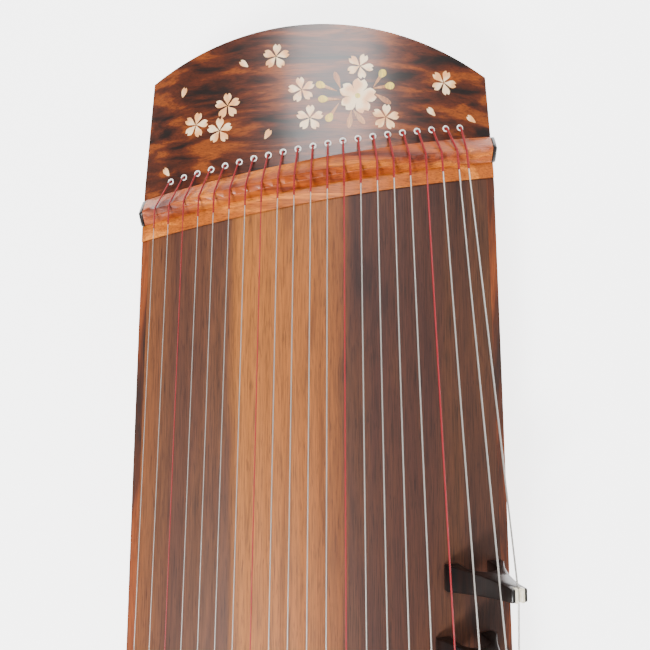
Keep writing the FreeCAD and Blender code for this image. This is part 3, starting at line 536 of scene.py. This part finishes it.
# ---------------------------------------------------------------- head bridge
# A straight rosewood bar with a bone saddle let into its top, which the strings cross on their
# way down into the head board.
head_bar = cad_copy("head_bridge", "head_bridge_bar")
settle(head_bar, "head_bridge_bar", bar_wood, 28)
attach(head_bar, "root")
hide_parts("head_bridge")
bone, bone_tree, bone_shader = new_finish("polished_bone", Roughness=0.28, IOR=1.54, Coat_Weight=0.2)
bone_at = add_node(bone_tree, "ShaderNodeTexCoord").outputs["Object"]
bone_cloud = add_node(bone_tree, "ShaderNodeTexNoise", {"Scale": 300.0, "Detail": 3.0}, {"Vector": bone_at})
bone_tone = add_node(bone_tree, "ShaderNodeValToRGB",
                     {"stops": [(0.3, linear("#D9CBA6")), (0.6, linear("#F2E9D2"))]},
                     {"Fac": bone_cloud.outputs["Fac"]})
bone_tree.links.new(bone_tone.outputs["Color"], bone_shader.inputs["Base Color"])
head_low, head_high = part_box("head_bridge")
head_hits = board_hits("head_bridge")
saddle_points = []
for k in range(61):
    y = head_low.y + 4 * MM + (head_high.y - head_low.y - 8 * MM) * k / 60
    top, _, _, _ = head_hits.ray_cast(Vector(((head_low.x + head_high.x) / 2 - 0.9 * MM, y, 1.0)), -UP)
    saddle_points.append(top - UP * 1.15 * MM)
saddle = drawn_line("head_bridge_saddle", saddle_points, 1.25 * MM, bone)
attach(saddle, "root")

# ---------------------------------------------------------------- eyelets
# Moulded white ferrules pressed into the string holes, so that the thread doesn't wear the
# veneer. Each has a rolled rim and a short sleeve.
eyelet_plastic, _, _ = new_finish("moulded_white_nylon", Base_Color=linear("#EDEBE4"), Roughness=0.25,
                                  IOR=1.53)
PAST_THE_HOLE = 4.4 * MM


def loose_parts(node):
    """The separate solids of a CAD node, each as its merged points."""
    copy = cad_copy(node, node + "_parts")
    bpy.ops.object.mode_set(mode="EDIT")
    bpy.ops.mesh.separate(type="LOOSE")
    bpy.ops.object.mode_set(mode="OBJECT")
    parts = [piece for piece in bpy.context.selected_objects if piece.type == "MESH"]
    found = [[vertex.co.copy() for vertex in piece.data.vertices] for piece in parts]
    for piece in parts:
        bpy.data.objects.remove(piece)
    return found


head_board_hits = board_hits("head_board")
deselect()
bpy.ops.mesh.primitive_torus_add(major_radius=2.3 * MM, minor_radius=0.6 * MM, major_segments=20,
                                 minor_segments=8)
rim = bpy.context.object
for corner in rim.data.vertices:
    corner.co.z *= 0.8
deselect()
bpy.ops.mesh.primitive_cylinder_add(radius=2.08 * MM, depth=1.6 * MM, vertices=20, end_fill_type="NOTHING",
                                    location=(0, 0, -0.7 * MM))
sleeve = bpy.context.object
wall = sleeve.modifiers.new("wall", "SOLIDIFY")
wall.thickness = 0.35 * MM
wall.offset = -1
bpy.ops.object.modifier_apply(modifier="wall")
bpy.ops.object.transform_apply(location=True)
rim.select_set(True)
bpy.context.view_layer.objects.active = rim
bpy.ops.object.join()
ferrule = bpy.context.object
eyelet_spots = []
for points in loose_parts("string_eyelets"):
    middle = sum(points, Vector()) / len(points)
    hits = tail_hits if middle.x < 0 else head_board_hits
    _, facing, _, _ = hits.ray_cast(Vector((middle.x - PAST_THE_HOLE, middle.y, 1.0)), -UP)
    highest = max(point.dot(facing) for point in points)
    rim_points = [point for point in points if point.dot(facing) > highest - 0.3 * MM]
    eyelet_spots.append((sum(rim_points, Vector()) / len(rim_points), facing))
eyelet_spots.sort(key=lambda spot: (spot[0].x > 0, spot[0].y))
for count, (spot, facing) in enumerate(eyelet_spots, start=1):
    copy = bpy.data.objects.new("eyelet_%02d" % count, ferrule.data.copy())
    bpy.context.scene.collection.objects.link(copy)
    turned = UP.rotation_difference(facing).to_matrix().to_4x4()
    turned.translation = spot - facing * 0.55 * MM
    copy.data.transform(turned)
    settle(copy, "eyelet_%02d" % count, eyelet_plastic, 60)
    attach(copy, "root")
    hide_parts("string_eyelets")
bpy.data.objects.remove(ferrule)

# ---------------------------------------------------------------- strings
# Twenty-one steel strings wound with nylon, thin on the player's side and thick on the far one.
# Every fifth is red, to mark the octave. Each tail is bound with red thread over the tail bridge.
silver, silver_tree, silver_shader = new_finish("nylon_wound_steel", Base_Color=linear("#ABA8A2"),
                                                Metallic=0.6, Roughness=0.34)
red_nylon, red_tree, red_shader = new_finish("red_nylon_winding", Base_Color=linear("#94121E"), Roughness=0.4)
for tree, shader in ((silver_tree, silver_shader), (red_tree, red_shader)):
    winding_at = add_node(tree, "ShaderNodeTexCoord").outputs["Object"]
    winding = add_node(tree, "ShaderNodeTexWave", {"Scale": 320.0, "bands_direction": "X"},
                       {"Vector": winding_at})
    turns = add_node(tree, "ShaderNodeBump", {"Strength": 0.25, "Distance": 0.0001},
                     {"Height": winding.outputs["Fac"]})
    tree.links.new(turns.outputs["Normal"], shader.inputs["Normal"])
thread, thread_tree, thread_shader = new_finish("red_cotton_thread", Roughness=0.7, Sheen_Weight=0.05)
thread_at = add_node(thread_tree, "ShaderNodeTexCoord").outputs["Object"]
thread_fuzz = add_node(thread_tree, "ShaderNodeTexNoise", {"Scale": 1500.0, "Detail": 2.0},
                       {"Vector": thread_at})
thread_tone = add_node(thread_tree, "ShaderNodeValToRGB",
                       {"stops": [(0.3, linear("#4E0004")), (0.6, linear("#980408"))]},
                       {"Fac": thread_fuzz.outputs["Fac"]})
thread_tree.links.new(thread_tone.outputs["Color"], thread_shader.inputs["Base Color"])
RED_STRINGS = (3, 8, 13, 18)
THREAD_WALL = 0.38 * MM
STRING_STEP = 18 * MM


def share_along(number):
    """How far a string lies from the first, at 0, to the last, at 1."""
    return (number - 1) / 20


def string_radius(number):
    """Half a string's shown thickness, a little under the CAD one."""
    return (0.58 + 0.76 * share_along(number)) / 2 * MM


def wind_string(name, number, points):
    """One run of a string, in its own colour."""
    red = number in RED_STRINGS
    run = drawn_line(name, points, string_radius(number), red_nylon if red else silver)
    return run


def bends(points, reach):
    """The middle of each ring of a bent rod's mesh, in order from the tail end."""
    groups = []
    for point in points:
        for group in groups:
            if (group[0] - point).length < reach:
                group.append(point)
                break
        else:
            groups.append([point])
    return [sum(group, Vector()) / len(group) for group in groups]


def eased_route(points, trim):
    """The same route with each bend rounded off."""
    route = [points[0]]
    for before, corner, after in zip(points, points[1:], points[2:]):
        start = corner + (before - corner).normalized() * trim
        end = corner + (after - corner).normalized() * trim
        for step in range(5):
            t = step / 4
            route.append(start * (1 - t) ** 2 + corner * 2 * t * (1 - t) + end * t ** 2)
    route.append(points[-1])
    return route


def sampled(points, pitch):
    """Even steps along a route."""
    spots = []
    for before, after in zip(points, points[1:]):
        steps = max(1, round((after - before).length / pitch))
        spots.extend(before.lerp(after, step / steps) for step in range(steps))
    return spots + [points[-1]]


rods = sorted(loose_parts("strings"), key=lambda points: sum(point.y for point in points) / len(points))
wraps = sorted(loose_parts("string_wraps"), key=lambda points: sum(point.y for point in points) / len(points))
string_routes = []
for number, (points, wrap_points) in enumerate(zip(rods, wraps), start=1):
    route = sorted(bends(points, 3.5 * MM), key=lambda spot: (round(spot.x, 3), -spot.z))
    eyelet_top = [spot for spot in route if 0.66 < spot.x < 0.672]
    rest = [spot for spot in route if spot not in eyelet_top]
    eyelet_top.sort(key=lambda spot: -spot.z)
    route = [spot for spot in rest if spot.x <= 0.66] + eyelet_top + [spot for spot in rest if spot.x > 0.672]
    string_routes.append(route)
    body = "bridge_%02d" % number
    crossing = route[1]
    tail_part = wind_string("string_%02d_tail" % number, number, sampled([route[0], crossing], STRING_STEP))
    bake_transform(tail_part)
    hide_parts("strings")
    head_part = wind_string("string_%02d_speaking" % number, number,
                            sampled([crossing, route[2]], STRING_STEP))
    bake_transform(head_part)
    tuning_part = wind_string("string_%02d_tuning" % number, number, eased_route(route[2:], 1.2 * MM))
    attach(tuning_part, "root")
    wrap_route = bends(wrap_points, 3.0 * MM)
    wrap_route.sort(key=lambda spot: spot.x)
    lowest = sorted(wrap_route[:2], key=lambda spot: spot.z)
    wrap_route = lowest + wrap_route[2:]
    smooth = sampled(eased_route(wrap_route, 1.6 * MM), 0.45 * MM)
    widths = [1.0 if k % 2 else 0.84 for k in range(len(smooth))]
    wrap = drawn_line("thread_%02d" % number, smooth, string_radius(number) + THREAD_WALL, thread, 1, widths)
    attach(wrap, "root")
    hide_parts("string_wraps")

# ---------------------------------------------------------------- movable bridges
# Twenty-one arched bridges of near-black polished rosewood. Each stands on two feet, held only
# by its string, which rests in a bone insert at its head. Its edges are sanded round.
CAMBER = 0.4
ARCH = 26.0
BRIDGE_HEIGHTS = (0.050, 0.065)
GROOVE = 3.1 * MM
GROOVE_FALL = 0.36
for number, route in enumerate(string_routes, start=1):
    node = "movable_bridge_%02d" % number
    body = "bridge_%02d" % number
    piece = cad_copy(node, node + "_shaped")
    ease_edges(piece, 0.9 * MM, 32)
    settle(piece, node + "_shaped", dark_wood, 35)
    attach(piece, body)
    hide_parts(node)
    crossing = route[1]
    height = BRIDGE_HEIGHTS[0] + (BRIDGE_HEIGHTS[1] - BRIDGE_HEIGHTS[0]) * share_along(number)
    lean = crossing.y / (CAMBER + height)
    facing = Vector((crossing.x / ARCH, lean, math.sqrt(1 - lean ** 2))).normalized()
    radius = string_radius(number)
    deselect()
    bpy.ops.mesh.primitive_cube_add(size=1)
    insert = bpy.context.object
    insert.scale = (9.8 * MM, 7.2 * MM, 4.6 * MM)
    bpy.ops.object.transform_apply(scale=True)
    bpy.ops.object.mode_set(mode="EDIT")
    for place in (-radius - 0.9 * MM, 0.0, radius + 0.9 * MM):
        bpy.ops.mesh.select_all(action="SELECT")
        bpy.ops.mesh.bisect(plane_co=(0, place, 0), plane_no=(0, 1, 0))
    bpy.ops.mesh.select_all(action="SELECT")
    bpy.ops.mesh.bisect(plane_co=(0, 0, 0), plane_no=(1, 0, 0))
    bpy.ops.object.mode_set(mode="OBJECT")
    for corner in insert.data.vertices:
        if corner.co.z > 0 and abs(corner.co.y) < 0.1 * MM:
            corner.co.z -= GROOVE + abs(corner.co.x) * GROOVE_FALL
    ease_edges(insert, 0.35 * MM, 40)
    turned = UP.rotation_difference(facing).to_matrix().to_4x4()
    turned.translation = crossing + facing * (GROOVE - radius - 0.15 * MM - 2.3 * MM)
    insert.data.transform(turned)
    settle(insert, "bone_insert_%02d" % number, bone, 35)
    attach(insert, body)

# ---------------------------------------------------------------- tuning pins
# Nickel-plated steel pins in the block, square at the top for the tuning key, with the end of
# each string wound round its pin in a short coil.
nickel, nickel_tree, nickel_shader = new_finish("nickel_plated_steel", Base_Color=linear("#C9C8C4"),
                                                Metallic=1.0, Roughness=0.22)
nickel_at = add_node(nickel_tree, "ShaderNodeTexCoord").outputs["Object"]
nickel_marks = add_node(nickel_tree, "ShaderNodeTexNoise", {"Scale": 900.0, "Detail": 2.0},
                        {"Vector": nickel_at})
nickel_wear = add_node(nickel_tree, "ShaderNodeMapRange", {"To Min": 0.16, "To Max": 0.34},
                       {"Value": nickel_marks.outputs["Fac"]})
nickel_tree.links.new(nickel_wear.outputs["Result"], nickel_shader.inputs["Roughness"])
PIN_RADIUS = 3.0 * MM
COIL_TURNS = 4
TURN_STEPS = 14
COIL_PITCH = 2.05
for number, route in enumerate(string_routes, start=1):
    node = "tuning_pin_%02d" % number
    body = "pin_%02d" % number
    piece = cad_copy(node, node + "_shaped")
    ease_edges(piece, 0.35 * MM, 50)
    settle(piece, node + "_shaped", nickel, 35)
    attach(piece, body)
    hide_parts(node)
    low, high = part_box(node)
    radius = string_radius(number)
    middle = Vector(((low.x + high.x) / 2, (low.y + high.y) / 2, route[-1].z))
    coil_points = []
    reach = PIN_RADIUS + radius
    for step in range(COIL_TURNS * TURN_STEPS + 1):
        turn = step / TURN_STEPS
        angle = math.pi + turn * math.tau
        coil_points.append(middle + Vector((reach * math.cos(angle), reach * math.sin(angle),
                                            -turn * COIL_PITCH * radius)))
    red = number in RED_STRINGS
    coil = drawn_line("string_coil_%02d" % number, coil_points, radius, red_nylon if red else silver, 1)
    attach(coil, body)

# ---------------------------------------------------------------- hinge and feet
# A polished brass butt hinge at the head end carries the lid, on four round-headed screws.
# Four ebonised feet are glued under the ends of the box.
brass, brass_tree, brass_shader = new_finish("polished_brass", Base_Color=linear("#C9A14A"), Metallic=1.0,
                                             Roughness=0.25)
brass_at = add_node(brass_tree, "ShaderNodeTexCoord").outputs["Object"]
brass_marks = add_node(brass_tree, "ShaderNodeTexNoise", {"Scale": 700.0, "Detail": 3.0},
                       {"Vector": brass_at})
brass_wear = add_node(brass_tree, "ShaderNodeMapRange", {"To Min": 0.18, "To Max": 0.36},
                      {"Value": brass_marks.outputs["Fac"]})
brass_tree.links.new(brass_wear.outputs["Result"], brass_shader.inputs["Roughness"])
for node in ("lid_hinge_leaf", "box_hinge_leaf"):
    paint_node(node, brass)
leaf_low, leaf_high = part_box("lid_hinge_leaf")
for count, y in enumerate((-22, -8, 8, 22), start=1):
    deselect()
    bpy.ops.mesh.primitive_uv_sphere_add(segments=16, ring_count=8, radius=2.0 * MM)
    screw = bpy.context.object
    for corner in screw.data.vertices:
        corner.co.z *= 0.4
    screw.data.transform(Matrix.Translation((leaf_low.x + 5.5 * MM, y * MM, leaf_high.z - 1.7 * MM)))
    settle(screw, "hinge_screw_%d" % count, brass, 60)
    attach(screw, "lid_body")
feet = cad_copy("feet", "feet_shaped")
ease_edges(feet, 2.0 * MM, 40)
settle(feet, "feet_shaped", dark_wood, 35)
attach(feet, "root")
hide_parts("feet")
